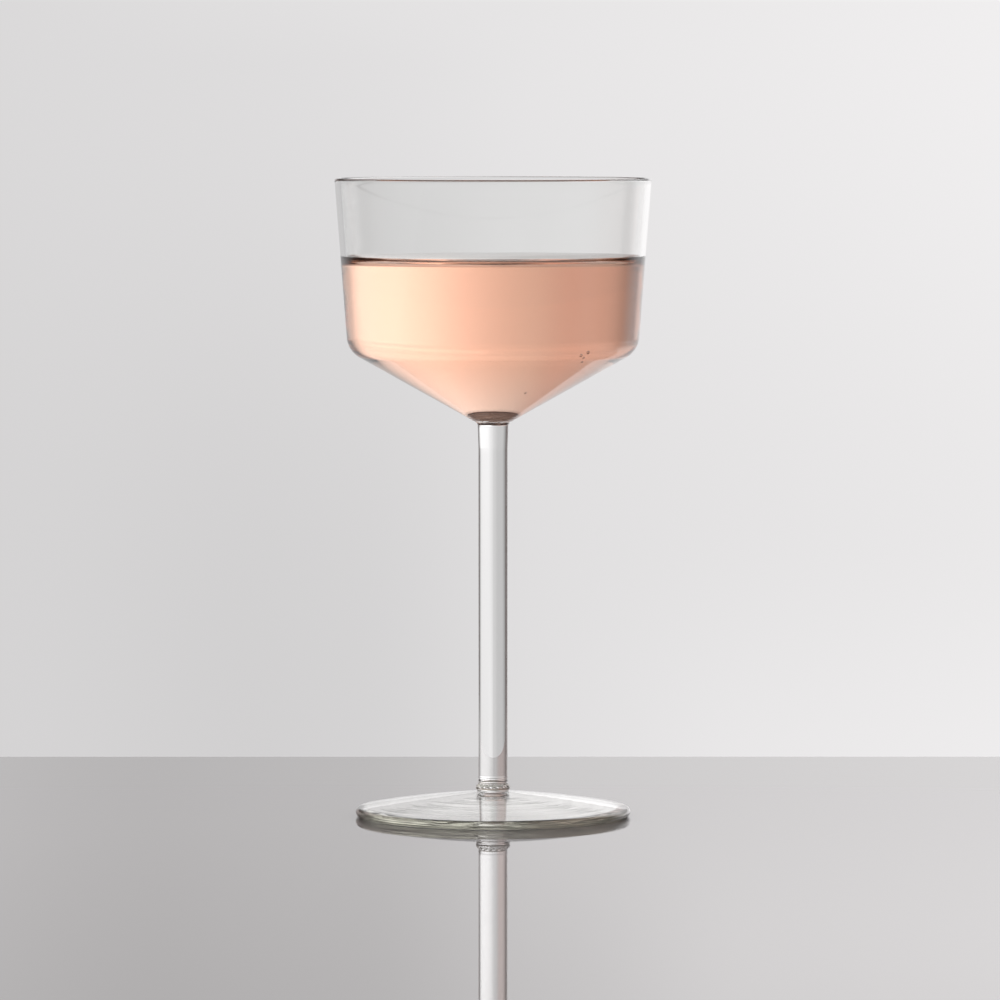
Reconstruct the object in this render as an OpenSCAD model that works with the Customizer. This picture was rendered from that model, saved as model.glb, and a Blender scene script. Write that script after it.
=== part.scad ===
// Coupe glass for wine and mixed drinks, in clear glass.
// Bowl, stem and foot are separate gathers of glass, fused by two small weld collars.
// Every piece is turned about Z. Z = 0 is the surface that the foot stands on.

/* [Bowl] */
// Outside diameter at the rim
rim_d = 86.8; // [82:0.1:110]
// Outside diameter at the heel, where the line of the wall meets the line of the floor
heel_d = 79.5; // [60:0.1:86]
// Height of the wall, from that corner to the top of the rim
wall_h = 47.2; // [25:0.1:80]
// Thickness of the wall
wall_t = 1.5; // [0.8:0.05:2.5]
// Slope of the conical floor, in degrees from level
floor_slope = 29.2; // [18:0.1:42]
// Thickness of the conical floor
floor_t = 1.7; // [0.8:0.05:2.5]
// Thickness of the glass under the lowest point inside, down to the upper collar
well_t = 1.6; // [1.2:0.1:4]
// Outside rounding of the heel
heel_r = 6.8; // [2:0.1:9]
// Inside rounding of the heel
heel_in_r = 3.5; // [1:0.1:8]

/* [Stem] */
// Diameter of the drawn rod
stem_d = 8; // [5:0.1:12]
// Length of the rod, from the lower collar to the upper one
stem_len = 97.2; // [40:0.1:160]
// Growth of the rod's radius at its upper end
flare_w = 0.2; // [0.05:0.05:1.5]
// Length of that flare
flare_len = 6; // [2:0.5:20]

/* [Upper collar] */
// How far the collar stands out from the stem where it carries the bowl
upper_w = 1.4; // [0.6:0.1:4]
// Height of the collar's straight neck
upper_neck = 1; // [0.5:0.1:4]
// Hollow rounding between the neck and the slope under the bowl
upper_r = 1.2; // [0.2:0.1:3]

/* [Lower collar] */
// How far the weld bead stands out from the stem
bead_w = 0.7; // [0.2:0.05:1]
// Height of the weld bead
bead_h = 2.1; // [1.5:0.1:5]
// Height of the straight neck above the bead
lower_neck = 0.9; // [0.4:0.1:4]

/* [Foot] */
// Diameter of the foot
foot_d = 75.5; // [50:0.1:110]
// Thickness of the foot at its rounded edge
edge_t = 2.4; // [1.2:0.1:4]
// Height of the foot in the middle, where the lower collar sits
foot_h = 6.7; // [5:0.1:12]
// Radius of the gentle dome of the upper side
dome_r = 360; // [120:10:1200]
// Height of the hollow in the underside, under the stem
dish_h = 3.7; // [0.5:0.1:4.2]
// Width of the flat ring that the glass stands on
rest_w = 2.6; // [1.5:0.1:8]

/* [Hidden] */
clear_glass = [0.87, 0.9, 0.91, 0.45];
$fn = 96;
// Steps along each rounding of an outline
steps = 12;

// Radii where the pieces meet
stem_r = stem_d / 2;
stem_top_r = stem_r + flare_w;
seat_r = stem_top_r + upper_w;

// Heights of the pieces and of the planes where they meet
lower_h = bead_h + lower_neck;
upper_h = upper_neck + upper_w * tan(floor_slope);
floor_h = (heel_d / 2 - seat_r) * tan(floor_slope);
bowl_h = floor_h + wall_h;
stem_z = foot_h + lower_h;
upper_z = stem_z + stem_len;
bowl_z = upper_z + upper_h;

function unit(v) = v / norm(v);
function heading(v) = atan2(v[1], v[0]);

// Shortest signed turn from one heading to another
function turn(from, to) = (to - from + 540) % 360 - 180;

// Points along a circle from one heading to another. With first = 1 the starting point is left out
function arc(centre, r, from, to, first = 0) =
    [for (i = [first:steps]) let (a = from + (to - from) * i / steps) centre + r * [cos(a), sin(a)]];

// Rounding of the corner b on the path from a to c
function fillet(a, b, c, r) =
    let (
        u = unit(a - b),
        v = unit(c - b),
        half = acos(u * v) / 2,
        centre = b + unit(u + v) * r / sin(half),
        from = heading(b + u * r / tan(half) - centre),
        to = heading(b + v * r / tan(half) - centre)
    )
    arc(centre, r, from, from + turn(from, to));

// Radius of the circle with this sagitta on this half chord
function sagitta_radius(half_chord, sagitta) =
    (half_chord * half_chord + sagitta * sagitta) / (2 * sagitta);

// Shell of even wall with a round lip, a rounded heel and a conical floor that ends in a round well
function bowl_outline() =
    let (
        lean = atan((rim_d - heel_d) / 2 / wall_h),
        up_wall = [sin(lean), cos(lean)],
        off_wall = [cos(lean), -sin(lean)],
        off_floor = [sin(floor_slope), -cos(floor_slope)],
        seat = [seat_r, 0],
        heel = [heel_d / 2, floor_h],
        rim = [rim_d / 2, bowl_h],
        lip_r = wall_t / 2,
        lip_up = (wall_h - lip_r * (1 + sin(lean))) / cos(lean),
        lip = heel - off_wall * lip_r + up_wall * lip_up,
        spread = cos(lean + floor_slope),
        heel_in = heel - [
            wall_t * cos(floor_slope) - floor_t * sin(lean),
            wall_t * sin(floor_slope) - floor_t * cos(lean)
        ] / spread,
        well_r = (heel_in * off_floor + well_t * cos(floor_slope)) / (1 - cos(floor_slope)),
        well = [0, well_t + well_r]
    )
    concat(
        [[0, 0], seat],
        fillet(seat, heel, rim, heel_r),
        arc(lip, lip_r, -lean, 180 - lean),
        fillet(lip - off_wall * lip_r, heel_in, well + off_floor * well_r, heel_in_r),
        arc(well, well_r, floor_slope - 90, -90)
    );

// Short neck that swells into the slope of the bowl's floor
function upper_collar_outline() =
    let (
        corner = [stem_top_r, upper_neck],
        foot_of_neck = [stem_top_r, 0],
        seat = [seat_r, upper_h],
        room = min(upper_neck, norm(seat - corner)),
        r = min(upper_r, 0.9 * room / tan(45 - floor_slope / 2))
    )
    concat(
        [[0, 0], foot_of_neck],
        fillet(foot_of_neck, corner, seat, r),
        [seat, [0, upper_h]]
    );

// Straight rod with a hollow flare at its upper end
function stem_outline() =
    let (
        flare_r = sagitta_radius(flare_len, flare_w),
        centre = [stem_r + flare_r, stem_len - flare_len],
        end = heading([flare_w - flare_r, flare_len])
    )
    concat(
        [[0, 0], [stem_r, 0]],
        arc(centre, flare_r, 180, end),
        [[0, stem_len]]
    );

// Round bead on the foot with a straight neck above it
function lower_collar_outline() =
    let (
        bead_r = sagitta_radius(bead_h / 2, bead_w),
        centre = [stem_r + bead_w - bead_r, bead_h / 2],
        end = heading([stem_r, bead_h] - centre)
    )
    concat(
        [[0, 0]],
        arc(centre, bead_r, -end, end),
        [[stem_r, lower_h], [0, lower_h]]
    );

// Disc with a domed upper side that runs into a round edge, and a hollow that follows the dome from below
function foot_outline() =
    let (
        edge_r = edge_t / 2,
        edge = [foot_d / 2 - edge_r, edge_r],
        seat = [stem_r, foot_h],
        reach = norm(edge - seat),
        to_edge = unit(edge - seat),
        inner_r = dome_r - edge_r,
        along = (dome_r * dome_r - inner_r * inner_r + reach * reach) / (2 * reach),
        below = sqrt(dome_r * dome_r - along * along),
        dome = seat + to_edge * along + [to_edge[1], -to_edge[0]] * below,
        meet = heading(edge - dome),
        roof = [stem_r, dish_h],
        ring = [edge[0] - rest_w, 0],
        chord = ring - roof,
        drop = sqrt(dome_r * dome_r - chord * chord / 4),
        dish = (roof + ring) / 2 + unit([chord[1], -chord[0]]) * drop
    )
    concat(
        [[0, dish_h]],
        arc(dish, dome_r, heading(roof - dish), heading(ring - dish)),
        arc(edge, edge_r, -90, meet),
        arc(dome, dome_r, meet, heading(seat - dome), 1),
        [[0, foot_h]]
    );

module turned(outline, z) {
    color(clear_glass)
        translate([0, 0, z])
            rotate_extrude()
                polygon(outline);
}

module foot() {
    turned(foot_outline(), 0);
}

module lower_collar() {
    turned(lower_collar_outline(), foot_h);
}

module stem() {
    turned(stem_outline(), stem_z);
}

module upper_collar() {
    turned(upper_collar_outline(), upper_z);
}

module bowl() {
    turned(bowl_outline(), bowl_z);
}

foot();
lower_collar();
stem();
upper_collar();
bowl();
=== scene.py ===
"""Looks of the coupe glass: turned glass pieces, a pale drink in the bowl, and a plain studio."""
import math

import bmesh
import bpy
from mathutils import Matrix, Vector


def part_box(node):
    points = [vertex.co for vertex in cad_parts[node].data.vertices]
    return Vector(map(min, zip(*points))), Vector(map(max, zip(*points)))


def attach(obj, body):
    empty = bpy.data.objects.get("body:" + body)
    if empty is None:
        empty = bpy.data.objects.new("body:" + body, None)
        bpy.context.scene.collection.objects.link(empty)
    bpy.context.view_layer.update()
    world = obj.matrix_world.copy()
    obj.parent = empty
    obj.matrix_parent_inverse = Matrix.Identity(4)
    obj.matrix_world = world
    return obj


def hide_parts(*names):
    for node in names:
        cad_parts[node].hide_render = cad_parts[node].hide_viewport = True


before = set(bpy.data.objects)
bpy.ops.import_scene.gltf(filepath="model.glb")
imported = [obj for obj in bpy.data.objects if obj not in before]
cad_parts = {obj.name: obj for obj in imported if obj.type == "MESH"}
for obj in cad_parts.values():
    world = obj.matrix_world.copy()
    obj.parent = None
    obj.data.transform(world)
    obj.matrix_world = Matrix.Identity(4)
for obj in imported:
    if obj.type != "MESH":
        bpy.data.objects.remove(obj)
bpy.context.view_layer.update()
scene = bpy.context.scene

MM = 0.001

# Sizes of the glass, the same as in the part's source, in metres
HEEL_R = 39.75 * MM
RIM_R = 43.4 * MM
WALL_T = 1.5 * MM
FLOOR_T = 1.7 * MM
FLOOR_SLOPE = math.radians(29.2)
WELL_T = 1.6 * MM
HEEL_ROUND = 6.8 * MM
HEEL_IN_ROUND = 3.5 * MM
SEAT_R = 5.6 * MM
STEM_R = 4.0 * MM
STEM_TOP_R = 4.2 * MM
FLARE_LEN = 6.0 * MM
NECK_ROUND = 1.2 * MM
BEAD_W = 0.7 * MM
BEAD_H = 2.1 * MM
FOOT_R = 37.75 * MM
EDGE_R = 1.2 * MM
DOME_R = 360.0 * MM
DISH_H = 3.7 * MM
REST_W = 2.6 * MM

# Heights where the pieces meet, from the solids
FOOT_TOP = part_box("foot")[1].z
STEM_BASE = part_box("stem")[0].z
STEM_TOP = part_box("stem")[1].z
BOWL_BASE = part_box("bowl")[0].z
RIM_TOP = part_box("bowl")[1].z

# Corner of the heel, lean of the wall and direction away from the floor, which the bowl and the drink share
HEEL = Vector((HEEL_R, BOWL_BASE + (HEEL_R - SEAT_R) * math.tan(FLOOR_SLOPE)))
LEAN = math.atan((RIM_R - HEEL_R) / (RIM_TOP - HEEL.y))
OFF_FLOOR = Vector((math.sin(FLOOR_SLOPE), -math.cos(FLOOR_SLOPE)))

# The drink: level of its flat surface, height of its meniscus and how fast that falls off
WINE_LEVEL = 151.6 * MM
MENISCUS_H = 2.2 * MM
MENISCUS_LEN = 1.8 * MM
# How far the drink reaches into the glass, so that there is no gap between them
WINE_OVERLAP = 0.06 * MM

# Small bubbles in the drink, near the front of the heel and of the floor: place and radius in millimetres
BUBBLES = (
    (23.2, -28.1, 128.2, 0.42),
    (25.1, -27.5, 128.8, 0.44),
    (23.85, -26.5, 127.75, 0.32),
    (23.55, -24.7, 126.9, 0.4),
    (8.5, -16.1, 118.1, 0.38),
)
BUBBLE_DETAIL = 3

# Kinds of surface on an outline, which choose its material and its waviness
PLAIN, OUTER, INNER, SEAM, EDGE, DOME, DISH, WELD_PAINTED_SHADE = range(8)
# Place of a kind's material in the list of its piece, where that isn't the first
# The foot's edge and the weld lines take glass painted dark as shade
MATERIAL_PLACE = {SEAM: 1, EDGE: 2, WELD_PAINTED_SHADE: 2}

# Rings round the upper weld: their span in height with its soft ends, their depth, pitch and tilt
RING_SPAN = (STEM_TOP + 0.5 * MM, BOWL_BASE + 1.4 * MM)
RING_SOFT = 0.5 * MM
RING_DEPTH = 0.035 * MM
RING_PITCH = 0.62 * MM
RING_TILT = 0.1

# Twisted bead of the lower weld: its span in height with its soft ends, and its strands
TWIST_SPAN = (FOOT_TOP + 1.1 * MM, STEM_BASE - 0.6 * MM)
TWIST_SOFT = 0.3 * MM
TWIST_DEPTH = 0.1 * MM
TWIST_PITCH = 2.0 * MM
TWIST_STRANDS = 15

# Grooves of the lower weld, as height and depth, their width, and the spans in height of its two lines of
# painted shade in near black glass
GROOVES = ((STEM_BASE - 0.4 * MM, 0.12 * MM), (STEM_BASE + 0.6 * MM, 0.06 * MM))
GROOVE_W = 0.14 * MM
WELD_PAINTED_SHADE_LINES = (
    (FOOT_TOP + 0.8 * MM, FOOT_TOP + 1.2 * MM),
    (STEM_BASE - 0.5 * MM, STEM_BASE - 0.3 * MM),
)

# Height on the stem and width on the bowl's floor that weld marks reach, where points are closer
MARKED_STEM = 1.4 * MM
MARKED_FLOOR = 4.0 * MM

# Rings that spinning leaves in the foot: height and shift, in the dome and in the hollow
FOOT_RING_H = {DOME: 0.01 * MM, DISH: 0.003 * MM}
FOOT_RING_SHIFT = {DOME: 0.3, DISH: 2.0}
# Each set of rings: share of the height, pitch, and how often it takes the swing and the shift
FOOT_RINGS = ((0.5, 6.1 * MM, 1, 1), (0.3, 3.3 * MM, -1, 0), (0.2, 1.9 * MM, 2, 0))
# The swing that makes the rings uneven: size, waves round the axis, and how often it takes the shift
FOOT_SWINGS = ((0.9, 1, 1), (0.5, 3, 2))
# Lengths over which the rings grow, from the stem outwards and from the edge inwards
FOOT_RING_START = 6.0 * MM
FOOT_RING_END = 3.0 * MM

# Streaks round the foot's edge: depth, pitch and soft ends, then their swing and how they fade on their way
STREAK_DEPTH = 0.02 * MM
STREAK_PITCH = 0.55 * MM
STREAK_SOFT = 0.5 * MM
STREAK_SWING = 2.0
STREAK_SWINGS = 3
STREAK_SHIFT = 1.0
STREAK_FADE = 0.4
STREAK_FADES = 7

# Slow waves of the blown wall: depth and shift, outside and inside, and the radii between which they grow
WAVE_DEPTH = {OUTER: 0.015 * MM, INNER: 0.035 * MM}
WAVE_SHIFT = {OUTER: 4.1, INNER: 1.3}
WAVE_START = 10.0 * MM
WAVE_FULL = 30.0 * MM
# Each wave: share of the depth, waves round the axis, radians per metre of height, times the shift is taken
WALL_WAVES = ((0.5, 3, 0, 1), (0.3, 5, -60, 2), (0.2, 9, 90, 3))

# Points round the axis, and along the stretches of an outline
SEGMENTS = 320
ARC_STEPS = 24
LINE_STEPS = 24
DISC_STEPS = 140
BEAD_STEPS = 64
ROD_STEPS = 60
NECK_STEPS = 8
SEAT_STEPS = 10
MARKED_STEPS = 48
FLOOR_STEPS = 28
WALL_STEPS = 40
LIP_STEPS = 32
WELL_STEPS = 32
WET_STEPS = 30
SURFACE_STEPS = 60
# Power by which the points of the drink's surface crowd towards the wall
SURFACE_CROWDING = 3

# Radius below which a point is on the axis, and angle from which an edge is sharp
ON_AXIS = 1e-7
SHARP_ANGLE = math.radians(35)


def arc(centre, radius, start, end, steps=ARC_STEPS):
    """Points along a circle in the (radius, height) plane, angles in radians."""
    turn = (end - start) / steps
    angles = [start + turn * i for i in range(steps + 1)]
    return [(centre[0] + radius * math.cos(a), centre[1] + radius * math.sin(a)) for a in angles]


def heading(point, centre):
    """Direction from a centre to a point, in radians."""
    return math.atan2(point[1] - centre[1], point[0] - centre[0])


def fillet(a, b, c, radius):
    """Rounding of the corner b on the path from a to c."""
    a, b, c = Vector(a), Vector(b), Vector(c)
    u = (a - b).normalized()
    v = (c - b).normalized()
    half = u.angle(v) / 2
    centre = b + (u + v).normalized() * (radius / math.sin(half))
    start = heading(b + u * (radius / math.tan(half)), centre)
    end = heading(b + v * (radius / math.tan(half)), centre)
    sweep = (end - start + 3 * math.pi) % (2 * math.pi) - math.pi
    return arc(centre, radius, start, start + sweep)


def between(a, b, steps=LINE_STEPS):
    """Points that divide a straight stretch, without its ends."""
    return [(a[0] + (b[0] - a[0]) * i / steps, a[1] + (b[1] - a[1]) * i / steps) for i in range(1, steps)]


def sagitta_radius(half_chord, sagitta):
    """Radius of the circle with this sagitta on this half chord."""
    return (half_chord ** 2 + sagitta ** 2) / (2 * sagitta)


def tag(points, kind):
    """Marks the stretch that leads up to each point with its kind of surface."""
    return [(r, z, kind) for r, z in points]


def ramp(distance, length):
    """Straight rise from 0 to 1 over a length."""
    return max(0.0, min(1.0, distance / length))


def band(value, span, soft):
    """1 within a span, with a straight fall to 0 at both of its ends."""
    low, high = span
    return min(ramp(value - low, soft), ramp(high - value, soft))


def ripple(place, pitch, shift=0.0):
    """Sine wave along a length."""
    return math.sin(2 * math.pi * place / pitch + shift)


def weld_marks(angle, r, z):
    """Tilted rings round the upper weld, and the twisted bead and the grooves of the lower one."""
    tilted = z - RING_TILT * r * math.cos(angle)
    marks = RING_DEPTH * band(z, RING_SPAN, RING_SOFT) * ripple(tilted, RING_PITCH)
    marks += TWIST_DEPTH * band(z, TWIST_SPAN, TWIST_SOFT) * ripple(z, TWIST_PITCH, TWIST_STRANDS * angle)
    for at, depth in GROOVES:
        marks -= depth * math.exp(-((z - at) / GROOVE_W) ** 2)
    return marks


def edge_streaks(angle, z):
    """Streaks round the foot's edge that rise, fall and fade on their way."""
    swing = STREAK_SWING * math.sin(STREAK_SWINGS * angle + STREAK_SHIFT)
    fade = 1 - STREAK_FADE + STREAK_FADE * math.sin(STREAK_FADES * angle)
    return STREAK_DEPTH * band(z, (0.0, 2 * EDGE_R), STREAK_SOFT) * ripple(z, STREAK_PITCH, swing) * fade


def wall_waves(angle, r, z, kind):
    """Slow waves of the blown bowl, stronger inside than outside and none near the stem."""
    wave = 0.0
    for share, count, climb, shifts in WALL_WAVES:
        wave += share * math.sin(count * angle + climb * z + shifts * WAVE_SHIFT[kind])
    return WAVE_DEPTH[kind] * ramp(r - WAVE_START, WAVE_FULL - WAVE_START) * wave


def waviness(angle, r, z, kind):
    """Small radial unevenness that hand work leaves on a kind of surface."""
    if kind == EDGE:
        return edge_streaks(angle, z)
    if kind == INNER:
        return wall_waves(angle, r, z, kind)
    if kind == OUTER:
        return weld_marks(angle, r, z) + wall_waves(angle, r, z, kind)
    return weld_marks(angle, r, z)


def foot_rings(angle, r, kind):
    """Height of the faint rings in the foot's dome and, fainter, in its hollow."""
    shift = FOOT_RING_SHIFT[kind]
    swing = sum(size * math.sin(count * angle + shifts * shift) for size, count, shifts in FOOT_SWINGS)
    wave = 0.0
    for share, pitch, swings, shifts in FOOT_RINGS:
        wave += share * ripple(r, pitch, swings * swing + shifts * shift)
    reach = ramp(r - STEM_R, FOOT_RING_START) * ramp(FOOT_R - EDGE_R - r, FOOT_RING_END)
    return FOOT_RING_H[kind] * reach * wave


def lathe(name, outline, materials):
    """Turns an outline of (radius, height, kind) about Z into a closed mesh."""
    verts, rings, faces, kinds = [], [], [], []
    for r, z, kind in outline:
        if r < ON_AXIS:
            rings.append([len(verts)])
            verts.append((0.0, 0.0, z))
            continue
        rings.append(list(range(len(verts), len(verts) + SEGMENTS)))
        for j in range(SEGMENTS):
            angle = 2 * math.pi * j / SEGMENTS
            radius = r + waviness(angle, r, z, kind)
            height = z + (foot_rings(angle, r, kind) if kind in FOOT_RING_H else 0.0)
            verts.append((radius * math.cos(angle), radius * math.sin(angle), height))
    for i in range(len(outline) - 1):
        low, high = rings[i], rings[i + 1]
        for j in range(SEGMENTS):
            k = (j + 1) % SEGMENTS
            if len(low) == 1:
                faces.append((low[0], high[k], high[j]))
            elif len(high) == 1:
                faces.append((low[j], low[k], high[0]))
            else:
                faces.append((low[j], low[k], high[k], high[j]))
            kinds.append(outline[i + 1][2])
    mesh = bpy.data.meshes.new(name)
    mesh.from_pydata(verts, [], faces)
    for material in materials:
        mesh.materials.append(material)
    for polygon, kind in zip(mesh.polygons, kinds):
        polygon.use_smooth = True
        polygon.material_index = MATERIAL_PLACE.get(kind, 0)
    mesh.set_sharp_from_angle(angle=SHARP_ANGLE)
    piece = bpy.data.objects.new(name, mesh)
    scene.collection.objects.link(piece)
    return piece


# Outlines run anticlockwise: out along the underside, up the outside and back to the axis


def foot_outline():
    """Domed disc with a round edge, and a hollow that follows the dome from below."""
    edge = (FOOT_R - EDGE_R, EDGE_R)
    seat = (STEM_R, FOOT_TOP)
    reach = Vector(edge) - Vector(seat)
    along = (DOME_R ** 2 - (DOME_R - EDGE_R) ** 2 + reach.length_squared) / (2 * reach.length)
    below = math.sqrt(DOME_R ** 2 - along ** 2)
    unit = reach.normalized()
    dome = (seat[0] + unit.x * along + unit.y * below, seat[1] + unit.y * along - unit.x * below)
    meet = heading(edge, dome)
    roof = Vector((STEM_R, DISH_H))
    ring = Vector((edge[0] - REST_W, 0.0))
    chord = ring - roof
    drop = math.sqrt(DOME_R ** 2 - chord.length_squared / 4)
    dish = (roof + ring) / 2 + Vector((chord.y, -chord.x)).normalized() * drop
    hollow = arc(dish, DOME_R, heading(roof, dish), heading(ring, dish), DISC_STEPS)
    outline = [(0.0, DISH_H, DISH)] + tag(hollow, DISH)
    outline += tag(arc(edge, EDGE_R, -math.pi / 2, meet), EDGE)
    outline += tag(arc(dome, DOME_R, meet, heading(seat, dome), DISC_STEPS)[1:], DOME)
    return outline + [(0.0, FOOT_TOP, SEAM)]


def lower_collar_outline():
    """Round bead and a straight neck above it, with two lines of painted shade in near black glass."""
    bead_r = sagitta_radius(BEAD_H / 2, BEAD_W)
    centre = (STEM_R + BEAD_W - bead_r, FOOT_TOP + BEAD_H / 2)
    end = math.atan2(BEAD_H / 2, STEM_R - centre[0])
    bead = arc(centre, bead_r, -end, end, BEAD_STEPS)
    neck = (STEM_R, STEM_BASE)
    outline = [(0.0, FOOT_TOP, SEAM)] + tag(bead[:1], SEAM)
    for r, z in bead[1:] + between(bead[-1], neck) + [neck]:
        # Points within the painted shade lines take the near black glass
        dark = any(low < z < high for low, high in WELD_PAINTED_SHADE_LINES)
        outline.append((r, z, WELD_PAINTED_SHADE if dark else PLAIN))
    return outline + [(0.0, STEM_BASE, SEAM)]


def stem_outline():
    """Straight rod that tapers outwards at its upper end."""
    start = (STEM_R, STEM_BASE)
    marked = (STEM_R, STEM_BASE + MARKED_STEM)
    flare = (STEM_R, STEM_TOP - FLARE_LEN)
    end = (STEM_TOP_R, STEM_TOP)
    rod = between(start, marked) + [marked] + between(marked, flare, ROD_STEPS) + [flare]
    rod += between(flare, end) + [end]
    outline = [(0.0, STEM_BASE, SEAM), start + (SEAM,)] + tag(rod, PLAIN)
    return outline + [(0.0, STEM_TOP, SEAM)]


def upper_collar_outline():
    """Short neck that swells into the slope of the bowl's floor."""
    slope_h = (SEAT_R - STEM_TOP_R) * math.tan(FLOOR_SLOPE)
    start = (STEM_TOP_R, STEM_TOP)
    seat = (SEAT_R, BOWL_BASE)
    neck = fillet(start, (STEM_TOP_R, BOWL_BASE - slope_h), seat, NECK_ROUND)
    side = between(start, neck[0], NECK_STEPS) + neck + between(neck[-1], seat, SEAT_STEPS) + [seat]
    outline = [(0.0, STEM_TOP, SEAM), start + (SEAM,)] + tag(side, PLAIN)
    return outline + [(0.0, BOWL_BASE, SEAM)]


def inside_points(depth):
    """Inner corner of the heel, and the round well from the axis out, both moved into the glass by depth."""
    wall, floor = WALL_T - depth, FLOOR_T - depth
    across = wall * math.cos(FLOOR_SLOPE) - floor * math.sin(LEAN)
    down = wall * math.sin(FLOOR_SLOPE) - floor * math.cos(LEAN)
    corner = HEEL - Vector((across, down)) / math.cos(LEAN + FLOOR_SLOPE)
    bottom = BOWL_BASE + WELL_T - depth
    well_r = corner.dot(OFF_FLOOR) + bottom * math.cos(FLOOR_SLOPE)
    well_r /= 1 - math.cos(FLOOR_SLOPE)
    centre = (0.0, bottom + well_r)
    return corner, arc(centre, well_r, -math.pi / 2, FLOOR_SLOPE - math.pi / 2, WELL_STEPS)


def bowl_outline():
    """Shell of even wall with a round lip, a rounded heel and a conical floor that ends in a round well."""
    up_wall = Vector((math.sin(LEAN), math.cos(LEAN)))
    off_wall = Vector((math.cos(LEAN), -math.sin(LEAN)))
    lip_r = WALL_T / 2
    lip_up = (RIM_TOP - HEEL.y - lip_r * (1 + math.sin(LEAN))) / math.cos(LEAN)
    lip = arc(HEEL - off_wall * lip_r + up_wall * lip_up, lip_r, -LEAN, math.pi - LEAN, LIP_STEPS)
    seat = (SEAT_R, BOWL_BASE)
    marked = (SEAT_R + MARKED_FLOOR, BOWL_BASE + MARKED_FLOOR * math.tan(FLOOR_SLOPE))
    heel = fillet(seat, HEEL, (RIM_R, RIM_TOP), HEEL_ROUND)
    outer = between(seat, marked, MARKED_STEPS) + [marked] + between(marked, heel[0], FLOOR_STEPS)
    outer += heel + between(heel[-1], lip[0], WALL_STEPS) + lip
    corner, well = inside_points(0.0)
    heel_in = fillet(lip[-1], corner, well[-1], HEEL_IN_ROUND)
    inner = between(lip[-1], heel_in[0], WALL_STEPS) + heel_in
    inner += between(heel_in[-1], well[-1]) + well[:0:-1]
    outline = [(0.0, BOWL_BASE, SEAM), seat + (SEAM,)] + tag(outer, OUTER) + tag(inner, INNER)
    return outline + [(0.0, well[0][1], INNER)]


def wine_outline():
    """The drink: it follows the inside of the bowl and climbs its wall in a meniscus."""
    corner, well = inside_points(WINE_OVERLAP)
    contact_z = WINE_LEVEL + MENISCUS_H
    contact = (corner.x + (contact_z - corner.y) * math.tan(LEAN), contact_z)
    heel_in = fillet(well[-1], corner, contact, HEEL_IN_ROUND)
    side = well[1:] + between(well[-1], heel_in[0]) + heel_in
    side += between(heel_in[-1], contact, WET_STEPS) + [contact]
    surface = []
    for i in range(1, SURFACE_STEPS):
        inset = contact[0] * (i / SURFACE_STEPS) ** SURFACE_CROWDING
        surface.append((contact[0] - inset, WINE_LEVEL + MENISCUS_H * math.exp(-inset / MENISCUS_LEN)))
    outline = [(0.0, well[0][1], INNER)] + tag(side, INNER) + tag(surface, PLAIN)
    return outline + [(0.0, WINE_LEVEL, PLAIN)]


def add_bubbles(piece, bubbles):
    """Adds small spheres whose faces look inwards, so that they are holes in the drink."""
    work = bmesh.new()
    work.from_mesh(piece.data)
    for x, y, z, radius in bubbles:
        place = Matrix.Translation((x * MM, y * MM, z * MM))
        size = radius * MM
        ball = bmesh.ops.create_icosphere(work, subdivisions=BUBBLE_DETAIL, radius=size, matrix=place)
        faces = list({face for vert in ball["verts"] for face in vert.link_faces})
        bmesh.ops.reverse_faces(work, faces=faces)
        for face in faces:
            face.smooth = True
    work.to_mesh(piece.data)
    work.free()


def principled(name, **values):
    """A material whose shader has these plain values."""
    material = bpy.data.materials.new(name)
    material.use_nodes = True
    shader = material.node_tree.nodes["Principled BSDF"]
    for key, value in values.items():
        shader.inputs[key.replace("_", " ")].default_value = value
    return material


def glass_material(name, tint):
    """Clear glass. The tint stands for what the glass takes from light on its way in and out; the darker
    tints given for the foot, its edge and the weld lines are painted shade.
    """
    return principled(name, Base_Color=tint + (1.0,), Roughness=0.0, IOR=1.47, Transmission_Weight=1.0)


def seam_material():
    """The faces where two fused pieces meet: there is glass on both sides, so they don't show."""
    return principled("fused_seam", Alpha=0.0)


def wine_material():
    """Clear liquid that takes up green and blue light on its way through."""
    white = (1.0, 1.0, 1.0, 1.0)
    material = principled("rose_wine", Base_Color=white, Roughness=0.0, IOR=1.34, Transmission_Weight=1.0)
    tree = material.node_tree
    absorb = tree.nodes.new("ShaderNodeVolumeAbsorption")
    absorb.inputs["Color"].default_value = (0.97, 0.5, 0.219, 1.0)
    absorb.inputs["Density"].default_value = 16.0
    tree.links.new(absorb.outputs["Volume"], tree.nodes["Material Output"].inputs["Volume"])
    return material


def table_material():
    """Glossy pale grey."""
    return principled("table", Base_Color=(0.45, 0.445, 0.445, 1.0), Roughness=0.01, IOR=1.5)


# Spans of direction that several parts of the studio share, in degrees: where the room behind the camera
# starts at the left and at the right, the middle of the wall, and the height where the picture ends
LEFT_BACK = (-105, -80)
RIGHT_BACK = (80, 105)
MIDDLE = (-1.2, 0.6)
PICTURE_TOP = (0.75, 1.0)


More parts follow.
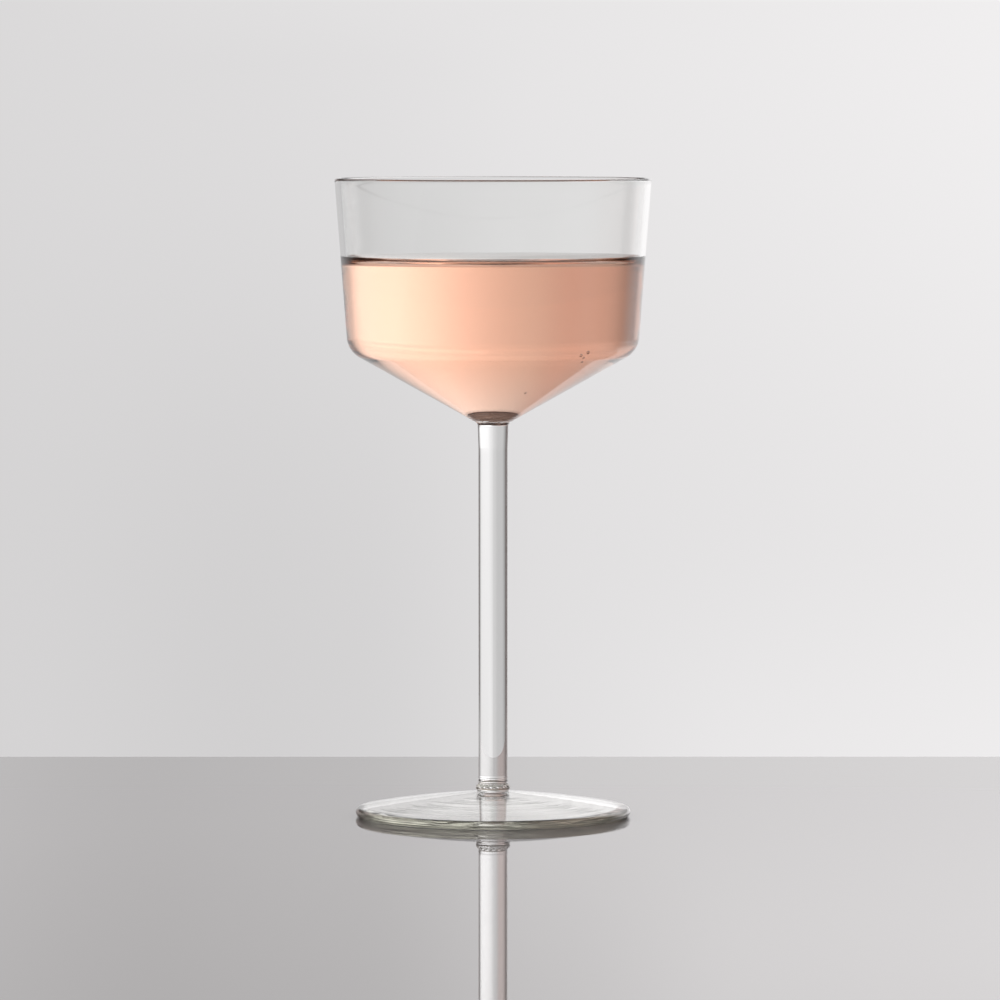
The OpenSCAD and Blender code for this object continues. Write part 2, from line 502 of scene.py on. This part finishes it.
class Studio:
    """Writes the light that comes from each direction as a formula in the nodes of a world."""

    def __init__(self, world):
        world.use_nodes = True
        self.nodes = world.node_tree.nodes
        self.links = world.node_tree.links
        place = self.nodes.new("ShaderNodeTexCoord")
        split = self.nodes.new("ShaderNodeSeparateXYZ")
        self.links.new(place.outputs["Generated"], split.inputs[0])
        x, y, z = split.outputs
        # Degrees from straight behind the glass, positive to the right, and degrees above level
        self.turn = self.calc("DEGREES", self.calc("ARCTAN2", x, y))
        self.rise = self.calc("DEGREES", self.calc("ARCSINE", z))
        # 1 for light that a surface mirrors, and 0 for light seen directly or through glass
        path = self.nodes.new("ShaderNodeLightPath").outputs
        self.mirrored = self.product(path["Is Glossy Ray"], self.rest(path["Is Transmission Ray"]))

    def calc(self, operation, *inputs):
        """One step of arithmetic on numbers and sockets."""
        node = self.nodes.new("ShaderNodeMath")
        node.operation = operation
        for socket, value in zip(node.inputs, inputs):
            if isinstance(value, (int, float)):
                socket.default_value = value
            else:
                self.links.new(value, socket)
        return node.outputs[0]

    def total(self, *parts):
        """Sum of all parts."""
        result = parts[0]
        for part in parts[1:]:
            result = self.calc("ADD", result, part)
        return result

    def product(self, *parts):
        """Product of all parts."""
        result = parts[0]
        for part in parts[1:]:
            result = self.calc("MULTIPLY", result, part)
        return result

    def rest(self, part):
        """What a part leaves of 1."""
        return self.calc("SUBTRACT", 1.0, part)

    def step(self, value, span, low, high):
        """Smooth change from low to high as a value goes through a span."""
        node = self.nodes.new("ShaderNodeMapRange")
        node.interpolation_type = "SMOOTHSTEP"
        self.links.new(value, node.inputs["Value"])
        for name, level in zip(("From Min", "From Max", "To Min", "To Max"), (*span, low, high)):
            node.inputs[name].default_value = level
        return node.outputs["Result"]

    def across(self, span, low=0.0, high=1.0):
        """Smooth change from left to right, over a span in degrees."""
        return self.step(self.turn, span, low, high)

    def up(self, span, low=0.0, high=1.0):
        """Smooth change upwards, over a span in degrees."""
        return self.step(self.rise, span, low, high)

    def wall(self):
        """The pale wall behind the glass, brighter to the right and upwards."""
        lower_right = self.product(self.across((5, 14)), self.up((-6.5, -2), -0.12, 0.06))
        upwards = self.total(
            self.up((-4, 0.7), 0.97, 1.03),
            self.up(PICTURE_TOP, 0.0, 0.08),
            self.up((2, 7), 0.0, 0.28),
            lower_right,
            self.up((19, 25), 0.0, -0.05),
        )
        return self.product(self.across((-14, 14), 0.58, 0.95), upwards)

    def wall_changes(self):
        """Changes to the wall as the camera and the table show it: darker left, lighter right."""
        left = self.product(self.across((-4.4, -1.8)), self.across(MIDDLE, 1.0, 0.0))
        left = self.product(left, self.up((-5.5, 0), -0.062, -0.016), self.up((0.2, 0.8), 1.0, 0.0))
        in_table = self.product(self.across((-5.2, -2.6), 0.0, -0.13), self.across(MIDDLE, 1.0, 0.0))
        in_table = self.total(in_table, self.across((-6, 6), -0.155, -0.15))
        in_table = self.product(in_table, self.up((2, 4)), self.mirrored)
        right = self.total(self.up((-6, -3.5), 0.035, 0.0), self.up((5.6, 7.6), 0.0, 0.13))
        right = self.product(right, self.across((0.3, 2.2)), self.across((60, 100), 1.0, 0.0))
        return self.product(self.up((7.9, 9.2), 1.0, 0.0), self.total(left, in_table, right))

    def foot_sky(self):
        """What the dome of the foot mirrors: a dark band with a light one above it."""
        bands = self.total(self.up((8.5, 10), 0.0, -0.6), self.up((16, 22), 0.0, 0.85))
        ends = self.product(self.across((-40, -25)), self.across((25, 40), 1.0, 0.0))
        return self.product(bands, self.up((28, 34), 1.0, 0.0), ends, self.mirrored)

    def shade(self):
        """Share of the light that the dark flags, with their openings, and the room behind leave."""
        left = self.product(self.across((-56, -24), 0.83, 0.0), self.across(LEFT_BACK))
        left = self.product(left, self.up((8, 20), 1.0, 0.0))
        left = self.total(left, self.across(LEFT_BACK, 0.332, 0.0))
        right = self.product(self.across((38, 62), 0.0, 0.89), self.across(RIGHT_BACK, 1.0, 0.69))
        openings = self.total(self.across((-61, -51), 0.85, 0.0), self.across((50, 60), 0.0, 0.6))
        openings = self.product(openings, self.up((0.6, 0.95)), self.up((4, 8), 1.0, 0.0))
        openings = self.product(openings, self.across(LEFT_BACK), self.across(RIGHT_BACK, 1.0, 0.0))
        kept = self.rest(openings)
        return self.product(self.rest(self.product(left, kept)), self.rest(self.product(right, kept)))

    def glow(self):
        """A soft box that brightens the drink, mostly at its right."""
        light = self.total(self.across((-18, -8), 0.08, 0.12), self.across((-6, 28), 0.0, 0.56))
        light = self.product(light, self.across((48, 64), 1.0, 0.0), self.across((-56, -30)))
        lower_right = self.product(self.across((6, 14)), self.up((-1.5, 1.5)))
        light = self.product(light, self.calc("MAXIMUM", self.up(PICTURE_TOP), lower_right))
        return self.product(light, self.up((3, 5.5), 1.0, 0.4))

    def strength(self):
        """All light together, under a dim ceiling."""
        wall = self.total(self.wall(), self.wall_changes(), self.foot_sky())
        light = self.total(self.product(wall, self.shade()), self.glow())
        return self.product(light, self.up((30, 49), 1.0, 0.1))

    def warmth(self, strength):
        """Share of the warm colour: all of it in the dark, and half at the left, above the picture."""
        left = self.product(self.across((-18, -6), 0.5, 0.0), self.up(PICTURE_TOP), self.across((-120, -70)))
        return self.total(self.step(strength, (0.06, 0.32), 1.0, 0.0), left)


def studio_world():
    """Pale wall behind the glass, a soft box at its right, dark flags at both sides and a dim ceiling."""
    world = bpy.data.worlds.new("studio")
    scene.world = world
    studio = Studio(world)
    strength = studio.strength()
    colour = studio.nodes.new("ShaderNodeMix")
    colour.data_type = "RGBA"
    factor, neutral, warm = colour.inputs[0], colour.inputs[6], colour.inputs[7]
    studio.links.new(studio.warmth(strength), factor)
    neutral.default_value = (1.0, 0.985, 0.99, 1.0)
    warm.default_value = (1.0, 0.72, 0.66, 1.0)
    background = studio.nodes["Background"]
    studio.links.new(colour.outputs[2], background.inputs["Color"])
    studio.links.new(strength, background.inputs["Strength"])


glass = glass_material("clear_glass", (0.985, 0.99, 0.985))
# The foot's glass is greyer than the bowl's: painted shade that darkens what shows through the foot
foot_painted_shade_glass = glass_material("foot_painted_shade_glass", (0.8, 0.8, 0.785))
# The foot's round edge is tinted dark olive: painted shade for the dark band along it
edge_painted_shade = glass_material("foot_edge_painted_shade", (0.5, 0.5, 0.42))
# Near black glass for the two weld lines: painted shade
weld_painted_shade = glass_material("weld_painted_shade", (0.12, 0.1, 0.08))
seam = seam_material()
for node, outline in (
    ("foot", foot_outline()),
    ("lower_collar", lower_collar_outline()),
    ("stem", stem_outline()),
    ("upper_collar", upper_collar_outline()),
    ("bowl", bowl_outline()),
):
    # The foot gets its greyer glass and its dark edge, the other pieces the clear glass and the near black
    # weld lines; all but the clear glass are painted shade
    materials = [foot_painted_shade_glass, seam, edge_painted_shade] if node == "foot" else [glass, seam, weld_painted_shade]
    piece = lathe("glass_" + node, outline, materials)
    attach(piece, "root")
    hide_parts(node)

wine = lathe("rose_wine", wine_outline(), [wine_material()])
add_bubbles(wine, BUBBLES)
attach(wine, "root")

# The table that the glass stands on, with its far edge where the photograph shows it
TABLE_Z = -0.1 * MM
TABLE_BACK = 0.166
TABLE_FRONT = -1.3
TABLE_HALF = 0.9
table_mesh = bpy.data.meshes.new("table")
table_mesh.from_pydata(
    [
        (-TABLE_HALF, TABLE_FRONT, TABLE_Z),
        (TABLE_HALF, TABLE_FRONT, TABLE_Z),
        (TABLE_HALF, TABLE_BACK, TABLE_Z),
        (-TABLE_HALF, TABLE_BACK, TABLE_Z),
    ],
    [],
    [(0, 1, 2, 3)],
)
table_mesh.materials.append(table_material())
table = bpy.data.objects.new("table", table_mesh)
scene.collection.objects.link(table)

studio_world()

# The camera, at the photograph's distance, height and aim
CAMERA_AT = Vector((0.0, -1.85, 0.198))
CAMERA_AIM = Vector((0.0019, 0.0, 0.08685))
CAMERA_SENSOR = 36.0
CAMERA_LENS = 243.5
camera_data = bpy.data.cameras.new("camera")
camera_data.sensor_width = CAMERA_SENSOR
camera_data.lens = CAMERA_LENS
camera = bpy.data.objects.new("camera", camera_data)
camera.location = CAMERA_AT
camera.rotation_euler = (CAMERA_AIM - CAMERA_AT).to_track_quat("-Z", "Y").to_euler()
scene.collection.objects.link(camera)
scene.camera = camera

scene.view_settings.view_transform = "Standard"
# Light passes many faces of glass before it leaves the bowl, and reaches the table through the foot
scene.cycles.caustics_refractive = True
scene.cycles.caustics_reflective = False
scene.cycles.max_bounces = 32
scene.cycles.transmission_bounces = 32
scene.cycles.glossy_bounces = 16
scene.cycles.transparent_max_bounces = 24
